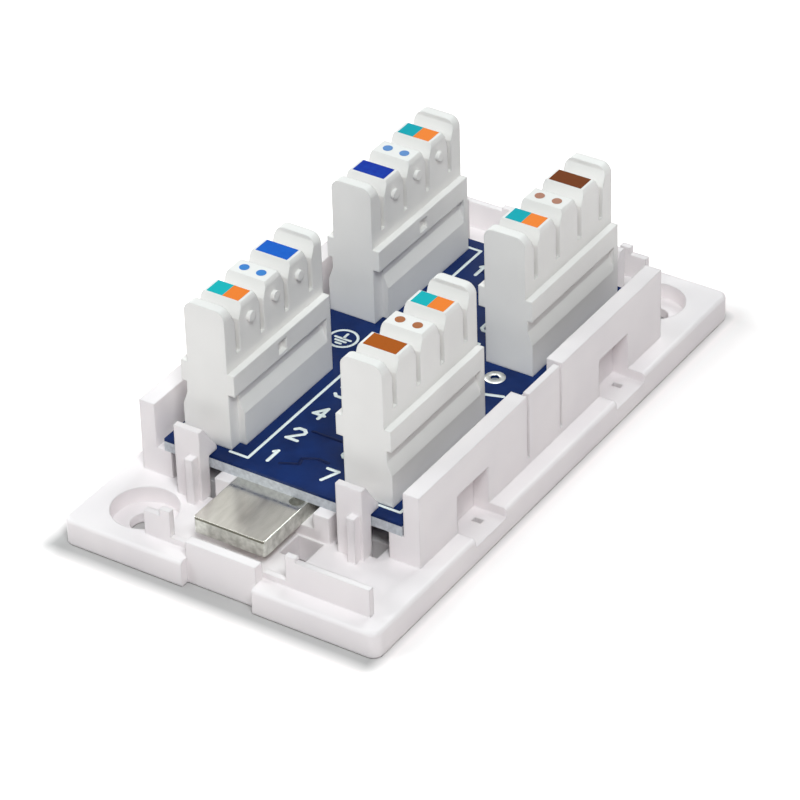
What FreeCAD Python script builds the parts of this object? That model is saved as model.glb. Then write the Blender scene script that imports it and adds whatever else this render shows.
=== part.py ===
import FreeCAD, Part
import os
import Sketcher

# An inline junction box for a network cable, shown open and without its lid.
# A white moulded tray holds a circuit board. Four insulation displacement blocks
# stand on the board and take eight wires of each cable. A metal plate under the
# board joins the screens of the two cables. X runs across the tray, Y along it,
# Z up. The origin is at the middle of the tray's underside.

doc = FreeCAD.newDocument("junction_box")

# Driving dimensions in millimetres
SIZES = {
    # tray floor
    "plate_length": 75.0,
    "plate_width": 40.4,
    "plate_thick": 3.2,
    "corner_round": 1.2,
    "edge_round": 0.5,
    # side walls, set in from the edge by the thickness of the lid
    "lid_margin": 2.25,
    "wall_thick": 2.0,
    "wall_length": 50.8,
    "wall_top": 12.3,
    # latch windows in the walls, with the floor sunk beside them
    "window_length": 6.3,
    "window_place": 14.85,
    "window_top": 8.0,
    "latch_floor": 2.1,
    "drain_inset": 0.75,
    "drain_length": 1.15,
    "drain_width": 0.7,
    "drain_shift": 1.1,
    # slots in the floor for the ties that hold the cables down
    "tie_side": 3.5,
    "tie_width": 3.3,
    "tie_gap": 0.3,
    "tie_length": 3.5,
    # thin snap tongue in the middle of each wall
    "tongue_length": 6.4,
    "tongue_thick": 0.8,
    "slit_width": 0.5,
    "slit_floor": 4.0,
    "nose_length": 4.6,
    "nose_grip": 0.7,
    "nose_lip": 0.5,
    # circuit board and what carries it
    "board_base": 6.6,
    "board_thick": 1.6,
    "board_side_gap": 0.65,
    "board_shift": 0.4,
    "board_end_gap": 0.3,
    "board_top_gap": 0.1,
    "ledge_width": 1.9,
    # hooked posts at the ends of the board
    "post_place": 10.4,
    "post_width": 3.3,
    "post_thick": 1.6,
    "post_tip": 0.8,
    "post_top": 12.2,
    "hook_reach": 1.2,
    "hook_lip": 0.5,
    "core_margin": 0.95,
    "core_front": 0.5,
    "core_length": 2.6,
    "stay_width": 1.0,
    "stay_depth": 1.0,
    "stay_shift": 0.75,
    "stay_top": 9.0,
    # screen plate and the blocks and seats that hold it
    "screen_width": 9.1,
    "screen_thick": 2.0,
    "screen_length": 67.4,
    "screen_side_gap": 0.8,
    "screen_fit": 0.05,
    "screen_corner": 0.3,
    "screen_hole": 1.7,
    "screen_hole_side": 3.4,
    "screen_hole_inset": 7.9,
    "support_width": 2.0,
    "support_length": 4.8,
    "support_reach": 1.4,
    # cable entries in the ends of the tray
    "entry_width": 9.0,
    "entry_setback": 1.0,
    "entry_wall_thick": 1.2,
    "entry_wall_top": 5.3,
    # ribs that locate the ends of the lid
    "rib_inset": 2.35,
    "rib_thick": 0.75,
    "rib_top": 6.7,
    "rib_gap": 14.8,
    "short_rib": 3.4,
    "short_rib_top": 6.3,
    "sill_top": 3.9,
    "pillar_width": 1.3,
    "pillar_top": 7.2,
    # screw pockets in two opposite corners
    "screw_side": 13.5,
    "screw_along": 31.4,
    "pocket_bore": 7.7,
    "pocket_floor": 1.2,
    "screw_bore": 3.6,
    # terminal blocks
    "block_inset": 5.35,
    "block_along": 28.4,
    "block_length": 18.5,
    "block_width": 6.9,
    "neck_width": 5.7,
    "head_width": 5.2,
    "bevel_low": 4.1,
    "bevel_top": 5.7,
    "band_low": 7.15,
    "band_top": 9.8,
    "head_top": 17.6,
    "head_round": 1.2,
    "tooth_drop": 0.5,
    "foot_end": 0.8,
    "end_setback": 1.6,
    "dimple_width": 1.6,
    "dimple_depth": 0.6,
    "dimple_low": 7.7,
    "dimple_high": 9.2,
    # wire slots
    "slot_pitch": 4.63,
    "slot_mouth": 2.2,
    "slot_width": 0.8,
    "slot_taper": 1.8,
    "slot_floor": 11.4,
    "boss_bore": 1.2,
    "boss_reach": 0.45,
    "boss_top": 14.8,
    # contacts and the cavities that hold them
    "contact_width": 2.6,
    "contact_thick": 0.5,
    "contact_top": 14.3,
    "contact_gap": 0.05,
    "fork_width": 0.4,
    "fork_mouth": 1.0,
    "fork_lead": 0.7,
    "fork_floor": 9.6,
    "tail_width": 0.8,
    "tail_reach": 1.0,
    "tail_bore": 1.3,
    # plated hole between the right-hand blocks
    "earth_bore": 1.0,
    "earth_side": 9.9,
    "earth_along": 2.7,
}

sheet = doc.addObject("Spreadsheet::Sheet", "sizes")
for row, (alias, value) in enumerate(SIZES.items(), start=1):
    sheet.set("A%d" % row, alias)
    sheet.set("B%d" % row, str(value))
    sheet.setAlias("B%d" % row, alias)
doc.recompute()

# Formulas that more than one piece uses
HALF_LENGTH = "sizes.plate_length / 2"
HALF_WIDTH = "sizes.plate_width / 2"
WALL_OUT = "(sizes.plate_width / 2 - sizes.lid_margin)"
WALL_IN = "(sizes.plate_width / 2 - sizes.lid_margin - sizes.wall_thick)"
TONGUE_IN = "(sizes.plate_width / 2 - sizes.lid_margin - sizes.tongue_thick)"
WALL_END = "(sizes.wall_length / 2)"
WINDOW_NEAR = "(sizes.window_place - sizes.window_length / 2)"
WINDOW_FAR = "(sizes.window_place + sizes.window_length / 2)"
BOARD_SIDE = "(sizes.plate_width / 2 - sizes.lid_margin - sizes.wall_thick - sizes.board_side_gap)"
BOARD_TOP = "(sizes.board_base + sizes.board_thick)"
POST_IN = "(sizes.wall_length / 2 + sizes.board_end_gap)"
POST_OUT = "(sizes.wall_length / 2 + sizes.board_end_gap + sizes.post_thick)"
POST_TIP = "(sizes.wall_length / 2 + sizes.board_end_gap + sizes.post_thick - sizes.post_tip)"
HOOK_TIP = "(sizes.wall_length / 2 - sizes.hook_reach)"
HOOK_LOW = "(sizes.board_base + sizes.board_thick + sizes.board_top_gap)"
HOOK_LIP = "(sizes.board_base + sizes.board_thick + sizes.board_top_gap + sizes.hook_lip)"
CHANNEL = "(sizes.screen_width / 2 + sizes.screen_side_gap)"
SUPPORT_OUT = "(sizes.screen_width / 2 + sizes.screen_side_gap + sizes.support_width)"
SUPPORT_FRONT = "(sizes.wall_length / 2 + sizes.support_reach)"
SUPPORT_BACK = "(sizes.wall_length / 2 + sizes.support_reach - sizes.support_length)"
SEAT_TOP = "(sizes.board_base - sizes.screen_thick)"
ENTRY_FACE = "(sizes.plate_length / 2 - sizes.entry_setback)"
ENTRY_BACK = "(sizes.plate_length / 2 - sizes.entry_setback - sizes.entry_wall_thick)"
RIB_OUT = "(sizes.plate_length / 2 - sizes.rib_inset)"
RIB_IN = "(sizes.plate_length / 2 - sizes.rib_inset - sizes.rib_thick)"
RIB_END = "(sizes.rib_gap / 2)"
PILLAR_END = "(sizes.rib_gap / 2 + sizes.pillar_width)"
SHORT_RIB_END = "(sizes.rib_gap / 2 + sizes.short_rib)"
BLOCK_END = "(sizes.block_length / 2)"
BLOCK_SIDE = "(sizes.block_width / 2)"
NECK_SIDE = "(sizes.neck_width / 2)"
HEAD_SIDE = "(sizes.head_width / 2)"
TOOTH_TOP = "(sizes.head_top - sizes.tooth_drop)"
FIRST_SLOT = "(-1.5 * sizes.slot_pitch)"
POST_FACE = "(1.5 * sizes.slot_pitch + sizes.slot_mouth / 2)"
BLOCK_MIDDLE = "(%s - sizes.block_inset)" % BOARD_SIDE
BEYOND = "1"


def plane_of(body, role):
    """Returns one of the body's own origin planes or axes."""
    return next(part for part in body.Origin.OriginFeatures if part.Role == role)


def new_body(label):
    body = doc.addObject("PartDesign::Body", label)
    body.Label = label
    return body


def new_sketch(body, name, role, offset=None):
    """Starts a sketch on an origin plane, lifted off it by a formula."""
    sketch = body.newObject("Sketcher::SketchObject", name)
    sketch.AttachmentSupport = [(plane_of(body, role), "")]
    sketch.MapMode = "FlatFace"
    if offset:
        sketch.setExpression("AttachmentOffset.Base.z", offset)
    return sketch


def place_point(sketch, item, point, across, up):
    """Ties a point of the sketch to two formulas."""
    for kind, formula in (("DistanceX", across), ("DistanceY", up)):
        index = sketch.addConstraint(Sketcher.Constraint(kind, -1, 1, item, point, 1.0))
        sketch.setExpression("Constraints[%d]" % index, formula)


def draw_outline(sketch, corners):
    """Draws a closed outline whose corners are pairs of formulas."""
    count = len(corners)
    first = sketch.GeometryCount
    for step in range(count):
        start = FreeCAD.Vector(step, step % 2, 0)
        finish = FreeCAD.Vector((step + 1) % count, (step + 1) % 2, 0)
        sketch.addGeometry(Part.LineSegment(start, finish), False)
    for step in range(count):
        after = first + (step + 1) % count
        sketch.addConstraint(Sketcher.Constraint("Coincident", first + step, 2, after, 1))
    for step, (across, up) in enumerate(corners):
        place_point(sketch, first + step, 1, across, up)


def draw_rectangle(sketch, left, right, low, high):
    draw_outline(sketch, [(left, low), (right, low), (right, high), (left, high)])


def draw_circle(sketch, across, up, bore):
    item = sketch.addGeometry(Part.Circle(FreeCAD.Vector(1, 1, 0), FreeCAD.Vector(0, 0, 1), 1), False)
    place_point(sketch, item, 3, across, up)
    index = sketch.addConstraint(Sketcher.Constraint("Diameter", item, 2.0))
    sketch.setExpression("Constraints[%d]" % index, bore)


def minus(formula):
    return "-(%s)" % formula


def draw_both_ends(sketch, left, right, near, far):
    """Draws a rectangle at the front end and the same one turned half round."""
    draw_rectangle(sketch, left, right, minus(far), minus(near))
    draw_rectangle(sketch, minus(right), minus(left), near, far)


def draw_four(sketch, left, right, near, far):
    """Draws a rectangle in each of the four corners."""
    draw_both_ends(sketch, left, right, near, far)
    draw_both_ends(sketch, minus(right), minus(left), near, far)


def add_pad(body, sketch, length, both_ways=False, turned=False):
    pad = body.newObject("PartDesign::Pad", sketch.Name + "_pad")
    pad.Profile = sketch
    pad.setExpression("Length", length)
    pad.Midplane = both_ways
    pad.Reversed = turned
    return pad


def add_pocket(body, sketch, depth, both_ways=False, turned=False):
    pocket = body.newObject("PartDesign::Pocket", sketch.Name + "_cut")
    pocket.Profile = sketch
    pocket.setExpression("Length", depth)
    pocket.Midplane = both_ways
    pocket.Reversed = turned
    return pocket


def add_row(body, feature, span, copies):
    """Repeats a feature along the block's length."""
    doc.recompute()
    pattern = body.newObject("PartDesign::LinearPattern", feature.Name + "_row")
    pattern.Originals = [feature]
    pattern.Direction = (plane_of(body, "Y_Axis"), [""])
    pattern.setExpression("Length", span)
    pattern.Occurrences = copies
    body.Tip = pattern
    return pattern


def add_fillet(body, feature, chosen, radius):
    """Rounds the edges of a feature that the given test picks."""
    doc.recompute()
    names = ["Edge%d" % (place + 1) for place, edge in enumerate(feature.Shape.Edges) if chosen(edge)]
    fillet = body.newObject("PartDesign::Fillet", feature.Name + "_round")
    fillet.Base = (feature, names)
    fillet.setExpression("Radius", radius)
    return fillet


def size(alias):
    return float(sheet.get(alias))


def near(value, target):
    return abs(value - target) < 1e-4


def is_upright(edge):
    box = edge.BoundBox
    return near(box.XLength, 0) and near(box.YLength, 0)


def is_level_at(edge, height):
    box = edge.BoundBox
    return near(box.ZMin, height) and near(box.ZMax, height)


# Tray: floor with round corners, cut back at the cable entries
tray = new_body("base_tray")
sketch = new_sketch(tray, "floor", "XY_Plane")
draw_rectangle(sketch, minus(HALF_WIDTH), HALF_WIDTH, minus(HALF_LENGTH), HALF_LENGTH)
floor = add_pad(tray, sketch, "sizes.plate_thick")
corners = add_fillet(tray, floor, is_upright, "sizes.corner_round")
soft_edge = add_fillet(tray, corners, lambda edge: is_level_at(edge, size("plate_thick")), "sizes.edge_round")

sketch = new_sketch(tray, "entry_notch", "XY_Plane", "sizes.plate_thick")
draw_both_ends(sketch, "-sizes.entry_width / 2", "sizes.entry_width / 2", ENTRY_FACE, HALF_LENGTH + " + " + BEYOND)
add_pocket(tray, sketch, "sizes.plate_thick")

# Side walls with latch windows, and the sunk floor where the lid's latches pass
sketch = new_sketch(tray, "side_wall", "XY_Plane")
for left, right in ((WALL_IN, WALL_OUT), (minus(WALL_OUT), minus(WALL_IN))):
    draw_rectangle(sketch, left, right, minus(WALL_END), WALL_END)
add_pad(tray, sketch, "sizes.wall_top")

sketch = new_sketch(tray, "latch_window", "YZ_Plane")
for start, finish in ((WINDOW_NEAR, WINDOW_FAR), (minus(WINDOW_FAR), minus(WINDOW_NEAR))):
    draw_rectangle(sketch, start, finish, "sizes.plate_thick", "sizes.window_top")
add_pocket(tray, sketch, "sizes.plate_width", both_ways=True)

sketch = new_sketch(tray, "latch_recess", "XY_Plane", "sizes.plate_thick")
draw_four(sketch, WALL_IN, HALF_WIDTH + " + " + BEYOND, WINDOW_NEAR, WINDOW_FAR)
add_pocket(tray, sketch, "sizes.plate_thick - sizes.latch_floor")

# A small drain through the sunk floor at the foot of each window
sketch = new_sketch(tray, "drain", "XY_Plane", "sizes.latch_floor")
DRAIN_IN = "(%s - sizes.drain_inset)" % WALL_OUT
DRAIN_OUT = "(%s - sizes.drain_inset + sizes.drain_length)" % WALL_OUT
for left, right, shift in ((DRAIN_IN, DRAIN_OUT, "-"), (minus(DRAIN_OUT), minus(DRAIN_IN), "+")):
    start = "(sizes.window_place %s sizes.drain_shift - sizes.drain_width / 2)" % shift
    finish = "(sizes.window_place %s sizes.drain_shift + sizes.drain_width / 2)" % shift
    draw_both_ends(sketch, left, right, start, finish)
add_pocket(tray, sketch, "sizes.latch_floor")

# Slots beside the screen plate take the ties that hold the cables down on it
sketch = new_sketch(tray, "tie_slot", "XY_Plane", "sizes.plate_thick")
TIE_OUT = "(sizes.tie_side + sizes.tie_width)"
TIE_NEAR = "(%s + sizes.tie_gap)" % SUPPORT_FRONT
TIE_FAR = "(%s + sizes.tie_gap + sizes.tie_length)" % SUPPORT_FRONT
draw_four(sketch, "sizes.tie_side", TIE_OUT, TIE_NEAR, TIE_FAR)
add_pocket(tray, sketch, "sizes.plate_thick")

# Snap tongues: two slits free a thin tongue, and a nose on it grips the board
sketch = new_sketch(tray, "tongue_slit", "XY_Plane", "sizes.wall_top")
SLIT_NEAR = "(sizes.tongue_length / 2)"
SLIT_FAR = "(sizes.tongue_length / 2 + sizes.slit_width)"
draw_four(sketch, WALL_IN, WALL_OUT, SLIT_NEAR, SLIT_FAR)
add_pocket(tray, sketch, "sizes.wall_top - sizes.slit_floor")

sketch = new_sketch(tray, "tongue_back", "XY_Plane", "sizes.wall_top")
for left, right in ((WALL_IN, TONGUE_IN), (minus(TONGUE_IN), minus(WALL_IN))):
    draw_rectangle(sketch, left, right, minus(SLIT_NEAR), SLIT_NEAR)
add_pocket(tray, sketch, "sizes.wall_top - sizes.slit_floor")

sketch = new_sketch(tray, "tongue_nose", "XZ_Plane")
NOSE_TIP = "(%s - sizes.nose_grip)" % BOARD_SIDE
NOSE_LOW = "(%s + sizes.board_top_gap)" % BOARD_TOP
NOSE_LIP = "(%s + sizes.board_top_gap + sizes.nose_lip)" % BOARD_TOP
NOSE_ROOT = "(%s + sizes.tongue_thick / 2)" % TONGUE_IN
NOSE_HIGH = "(%s + %s - %s)" % (NOSE_LIP, NOSE_ROOT, NOSE_TIP)
for sign in ("", "-"):
    root = sign + NOSE_ROOT
    tip = sign + NOSE_TIP
    draw_outline(sketch, [(root, NOSE_LOW), (tip, NOSE_LOW), (tip, NOSE_LIP), (root, NOSE_HIGH)])
add_pad(tray, sketch, "sizes.nose_length", both_ways=True)

# Ledges along the walls carry the board's long edges
sketch = new_sketch(tray, "ledge", "XY_Plane")
LEDGE_IN = "(%s - sizes.ledge_width)" % WALL_IN
for left, right in ((LEDGE_IN, WALL_IN), (minus(WALL_IN), minus(LEDGE_IN))):
    draw_rectangle(sketch, left, right, minus(WALL_END), WALL_END)
add_pad(tray, sketch, "sizes.board_base")

# A slot under each hook lets the mould's core out below it
POST_LEFT = "(sizes.post_place - sizes.post_width / 2)"
POST_RIGHT = "(sizes.post_place + sizes.post_width / 2)"
sketch = new_sketch(tray, "core_slot", "XY_Plane", "sizes.plate_thick")
CORE_FAR = "(%s + sizes.core_front)" % POST_IN
CORE_NEAR = "(%s + sizes.core_front - sizes.core_length)" % POST_IN
draw_four(sketch, POST_LEFT + " - sizes.core_margin", POST_RIGHT + " + sizes.core_margin", CORE_NEAR, CORE_FAR)
add_pocket(tray, sketch, "sizes.plate_thick")

# Posts stop the board's ends and hook over its top
HOOK_SHAPE = [
    (POST_OUT, "0"),
    (POST_OUT, "sizes.post_top"),
    (POST_TIP, "sizes.post_top"),
    (HOOK_TIP, HOOK_LIP),
    (HOOK_TIP, HOOK_LOW),
    (POST_IN, HOOK_LOW),
    (POST_IN, "0"),
]
for name, start in (("right_post", POST_LEFT), ("left_post", minus(POST_RIGHT))):
    sketch = new_sketch(tray, name, "YZ_Plane", start)
    draw_outline(sketch, HOOK_SHAPE)
    draw_outline(sketch, [(minus(along), up) for along, up in HOOK_SHAPE])
    add_pad(tray, sketch, "sizes.post_width")

# A thin stay stands against the front of each post
sketch = new_sketch(tray, "post_stay", "XY_Plane")
for place in ("sizes.post_place", "-sizes.post_place"):
    stay_left = "(%s + sizes.stay_shift - sizes.stay_width / 2)" % place
    stay_right = "(%s + sizes.stay_shift + sizes.stay_width / 2)" % place
    draw_both_ends(sketch, stay_left, stay_right, POST_OUT, POST_OUT + " + sizes.stay_depth")
add_pad(tray, sketch, "sizes.stay_top")

# Supports beside the screen plate carry the board's ends, with a seat for the plate
sketch = new_sketch(tray, "support", "XY_Plane")
draw_four(sketch, CHANNEL, SUPPORT_OUT, SUPPORT_BACK, SUPPORT_FRONT)
add_pad(tray, sketch, "sizes.board_base")

sketch = new_sketch(tray, "screen_seat", "XY_Plane")
draw_both_ends(sketch, minus(CHANNEL), CHANNEL, SUPPORT_BACK, SUPPORT_FRONT)
add_pad(tray, sketch, SEAT_TOP)

# Entry walls under the cables
sketch = new_sketch(tray, "entry_wall", "XY_Plane")
draw_both_ends(sketch, "-sizes.entry_width / 2", "sizes.entry_width / 2", ENTRY_BACK, ENTRY_FACE)
add_pad(tray, sketch, "sizes.entry_wall_top")

# Ribs inside the lid's end walls, short on the side of the screw pocket
sketch = new_sketch(tray, "rib", "XY_Plane")
draw_both_ends(sketch, RIB_END, WALL_OUT, RIB_IN, RIB_OUT)
add_pad(tray, sketch, "sizes.rib_top")

sketch = new_sketch(tray, "short_rib", "XY_Plane")
draw_both_ends(sketch, minus(SHORT_RIB_END), minus(RIB_END), RIB_IN, RIB_OUT)
add_pad(tray, sketch, "sizes.short_rib_top")

sketch = new_sketch(tray, "rib_pillar", "XY_Plane")
draw_four(sketch, RIB_END, PILLAR_END, RIB_IN, RIB_OUT)
add_pad(tray, sketch, "sizes.pillar_top")

sketch = new_sketch(tray, "rib_sill", "XY_Plane")
draw_four(sketch, "sizes.entry_width / 2", RIB_END, RIB_IN, RIB_OUT)
add_pad(tray, sketch, "sizes.sill_top")

# Screw pockets for the heads, with a bore through the floor
SCREW_PLACES = (("sizes.screw_side", "sizes.screw_along"), ("-sizes.screw_side", "-sizes.screw_along"))
sketch = new_sketch(tray, "screw_pocket", "XY_Plane", "sizes.plate_thick")
for across, along in SCREW_PLACES:
    draw_circle(sketch, across, along, "sizes.pocket_bore")
add_pocket(tray, sketch, "sizes.plate_thick - sizes.pocket_floor")

sketch = new_sketch(tray, "screw_bore", "XY_Plane", "sizes.pocket_floor")
for across, along in SCREW_PLACES:
    draw_circle(sketch, across, along, "sizes.screw_bore")
add_pocket(tray, sketch, "sizes.pocket_floor")

# Circuit board: a rectangle pushed towards one side wall, with a hole for each tail
board = new_body("circuit_board")
sketch = new_sketch(board, "board", "XY_Plane")
BOARD_LEFT = minus(BOARD_SIDE) + " + sizes.board_shift"
BOARD_RIGHT = BOARD_SIDE + " + sizes.board_shift"
draw_rectangle(sketch, BOARD_LEFT, BOARD_RIGHT, minus(WALL_END), WALL_END)
add_pad(board, sketch, "sizes.board_thick")

ROWS = {"left": "-", "right": ""}
ENDS = {"front": "-", "rear": ""}
SLOTS = ("-1.5", "-0.5", "0.5", "1.5")


def block_centre(end, side):
    """Returns the formulas for the middle of a block."""
    return ROWS[side] + BLOCK_MIDDLE, ENDS[end] + "sizes.block_along / 2"


sketch = new_sketch(board, "tail_hole", "XY_Plane", "sizes.board_thick")
for end in ENDS:
    for side in ROWS:
        across, along = block_centre(end, side)
        for slot in SLOTS:
            draw_circle(sketch, across, "%s + %s * sizes.slot_pitch" % (along, slot), "sizes.tail_bore")
add_pocket(board, sketch, "sizes.board_thick")

sketch = new_sketch(board, "earth_hole", "XY_Plane", "sizes.board_thick")
draw_circle(sketch, "sizes.earth_side", "sizes.earth_along", "sizes.earth_bore")
add_pocket(board, sketch, "sizes.board_thick")
board.setExpression("Placement.Base.z", "sizes.board_base")

# Screen plate: a flat bar under the board that lies against one pair of supports
screen = new_body("screen_plate")
sketch = new_sketch(screen, "bar", "XY_Plane")
SCREEN_SIDE = "(sizes.screen_width / 2)"
SCREEN_END = "(sizes.screen_length / 2)"
draw_rectangle(sketch, minus(SCREEN_SIDE), SCREEN_SIDE, minus(SCREEN_END), SCREEN_END)
bar = add_pad(screen, sketch, "sizes.screen_thick")
add_fillet(screen, bar, is_upright, "sizes.screen_corner")
sketch = new_sketch(screen, "bar_hole", "XY_Plane", "sizes.screen_thick")
HOLE_ALONG = "(sizes.screen_length / 2 - sizes.screen_hole_inset)"
draw_circle(sketch, "sizes.screen_hole_side", minus(HOLE_ALONG), "sizes.screen_hole")
draw_circle(sketch, "-sizes.screen_hole_side", HOLE_ALONG, "sizes.screen_hole")
add_pocket(screen, sketch, "sizes.screen_thick")
screen.setExpression("Placement.Base.x", "sizes.screen_fit - sizes.screen_side_gap")
screen.setExpression("Placement.Base.z", SEAT_TOP)


# Terminal blocks: left- and right-hand mouldings, alike but for the side that faces inward
def make_block(end, side):
    """Models the housing of one block, standing on the board's top."""
    name = "%s_%s_block" % (end, side)
    body = new_body(name)
    inward = "" if side == "left" else "-"

    # cross-section: wide foot, bevel, groove, band and narrow head
    sketch = new_sketch(body, name + "_section", "XZ_Plane")
    half = [
        (BLOCK_SIDE, "0"),
        (BLOCK_SIDE, "sizes.bevel_low"),
        (NECK_SIDE, "sizes.bevel_top"),
        (NECK_SIDE, "sizes.band_low"),
        (BLOCK_SIDE, "sizes.band_low"),
        (BLOCK_SIDE, "sizes.band_top"),
        (HEAD_SIDE, "sizes.band_top"),
        (HEAD_SIDE, "sizes.head_top"),
    ]
    mirrored = [(minus(across), up) for across, up in reversed(half)]
    draw_outline(sketch, half + mirrored)
    prism = add_pad(body, sketch, "sizes.block_length", both_ways=True)

    def is_top_side(edge):
        return is_level_at(edge, size("head_top")) and near(edge.BoundBox.XLength, 0)

    add_fillet(body, prism, is_top_side, "sizes.head_round")

    # the rear end is closed up to the band, the front foot is set back on the inner side
    sketch = new_sketch(body, name + "_rear_end", "XY_Plane")
    draw_rectangle(sketch, minus(BLOCK_SIDE), BLOCK_SIDE, BLOCK_END + " - sizes.foot_end", BLOCK_END)
    add_pad(body, sketch, "sizes.band_top")
    sketch = new_sketch(body, name + "_front_step", "XY_Plane")
    step_far = minus(BLOCK_END) + " + sizes.end_setback"
    step_out = "%s(%s + %s)" % (inward, BLOCK_SIDE, BEYOND)
    draw_rectangle(sketch, inward + HEAD_SIDE, step_out, minus(BLOCK_END) + " - " + BEYOND, step_far)
    add_pocket(body, sketch, "sizes.band_low", turned=True)

    # the teeth stand lower than the end posts
    sketch = new_sketch(body, name + "_tooth_drop", "XY_Plane", "sizes.head_top")
    clear_side = "(%s + %s)" % (HEAD_SIDE, BEYOND)
    draw_rectangle(sketch, minus(clear_side), clear_side, minus(POST_FACE), POST_FACE)
    add_pocket(body, sketch, "sizes.tooth_drop")

    # wire slots with tapered mouths, four along the block
    sketch = new_sketch(body, name + "_slot", "YZ_Plane")
    mouth = "sizes.slot_mouth / 2"
    throat = "sizes.slot_width / 2"
    throat_top = "%s - sizes.slot_taper" % TOOTH_TOP
    draw_outline(sketch, [
        ("%s - %s" % (FIRST_SLOT, mouth), TOOTH_TOP),
        ("%s - %s" % (FIRST_SLOT, throat), throat_top),
        ("%s - %s" % (FIRST_SLOT, throat), "sizes.slot_floor"),
        ("%s + %s" % (FIRST_SLOT, throat), "sizes.slot_floor"),
        ("%s + %s" % (FIRST_SLOT, throat), throat_top),
        ("%s + %s" % (FIRST_SLOT, mouth), TOOTH_TOP),
    ])
    slot = add_pocket(body, sketch, "sizes.block_width", both_ways=True)
    add_row(body, slot, "3 * sizes.slot_pitch", len(SLOTS))

    # cavities for the contacts, open below
    sketch = new_sketch(body, name + "_cavity", "XY_Plane")
    cavity_side = "(sizes.contact_thick / 2 + sizes.contact_gap)"
    cavity_end = "(sizes.contact_width / 2 + sizes.contact_gap)"
    draw_rectangle(sketch, minus(cavity_side), cavity_side, "%s - %s" % (FIRST_SLOT, cavity_end),
                   "%s + %s" % (FIRST_SLOT, cavity_end))
    cavity = add_pocket(body, sketch, "sizes.contact_top + sizes.contact_gap", turned=True)
    add_row(body, cavity, "3 * sizes.slot_pitch", len(SLOTS))

    # wire bosses on the inner face of each tooth, and a dimple in the inner band
    sketch = new_sketch(body, name + "_boss", "YZ_Plane")
    draw_circle(sketch, "-sizes.slot_pitch", "sizes.boss_top", "sizes.boss_bore")
    boss = add_pad(body, sketch, HEAD_SIDE + " + sizes.boss_reach", turned=(side == "right"))
    add_row(body, boss, "2 * sizes.slot_pitch", len(SLOTS) - 1)
    sketch = new_sketch(body, name + "_dimple", "YZ_Plane", inward + BLOCK_SIDE)
    dimple = "sizes.dimple_width / 2"
    draw_rectangle(sketch, minus(dimple), dimple, "sizes.dimple_low", "sizes.dimple_high")
    add_pocket(body, sketch, "sizes.dimple_depth", turned=(side == "right"))

    across, along = block_centre(end, side)
    body.setExpression("Placement.Base.x", across)
    body.setExpression("Placement.Base.y", along)
    body.setExpression("Placement.Base.z", BOARD_TOP)
    return body


# Contacts: forked strips that cut into the wire, each with a tail through the board
def make_contact(end, side, number):
    """Models one contact, standing on its shoulders on the board."""
    name = "%s_%s_contact_%d" % (end, side, number)
    body = new_body(name)
    sketch = new_sketch(body, name + "_strip", "YZ_Plane")
    strip = "sizes.contact_width / 2"
    tail = "sizes.tail_width / 2"
    tail_tip = "-(sizes.board_thick + sizes.tail_reach)"
    fork = "sizes.fork_width / 2"
    lead = "sizes.fork_mouth / 2"
    lead_low = "sizes.contact_top - sizes.fork_lead"
    half = [
        (tail, tail_tip),
        (tail, "0"),
        (strip, "0"),
        (strip, "sizes.contact_top"),
        (lead, "sizes.contact_top"),
        (fork, lead_low),
        (fork, "sizes.fork_floor"),
    ]
    mirrored = [(minus(across), up) for across, up in reversed(half)]
    draw_outline(sketch, half + mirrored)
    add_pad(body, sketch, "sizes.contact_thick", both_ways=True)
    across, along = block_centre(end, side)
    body.setExpression("Placement.Base.x", across)
    body.setExpression("Placement.Base.y", "%s + %s * sizes.slot_pitch" % (along, SLOTS[number - 1]))
    body.setExpression("Placement.Base.z", BOARD_TOP)
    return body


pieces = [tray, board, screen]
for end in ENDS:
    for side in ROWS:
        pieces.append(make_block(end, side))
        for number in range(1, len(SLOTS) + 1):
            pieces.append(make_contact(end, side, number))

doc.recompute()

# Every feature has to be sound before anything is written
for item in doc.Objects:
    if "Invalid" in item.State or "Error" in item.State:
        raise RuntimeError("failed: " + item.Name)
for piece in pieces:
    if piece.Shape.isNull() or not piece.Shape.isValid():
        raise RuntimeError("bad shape: " + piece.Label)

os.makedirs("parts", exist_ok=True)
for piece in pieces:
    piece.Shape.exportStep("parts/%s.step" % piece.Label)
    print(piece.Label, round(piece.Shape.Volume, 1), "mm3,", len(piece.Shape.Solids), "solid")
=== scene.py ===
# %% [markdown]
# An open junction box for network cable. A white moulded tray carries a blue circuit
# board, four punch-down blocks stand on the board, and a metal plate under it joins the
# screens of the two cables. The solids come from the CAD frame and stay as they are. This
# lesson dresses them: plastics, board, metals, the white print and the colour marks.
# Sizes are written in millimetres, and MM turns them into the metres of the scene.

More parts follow.
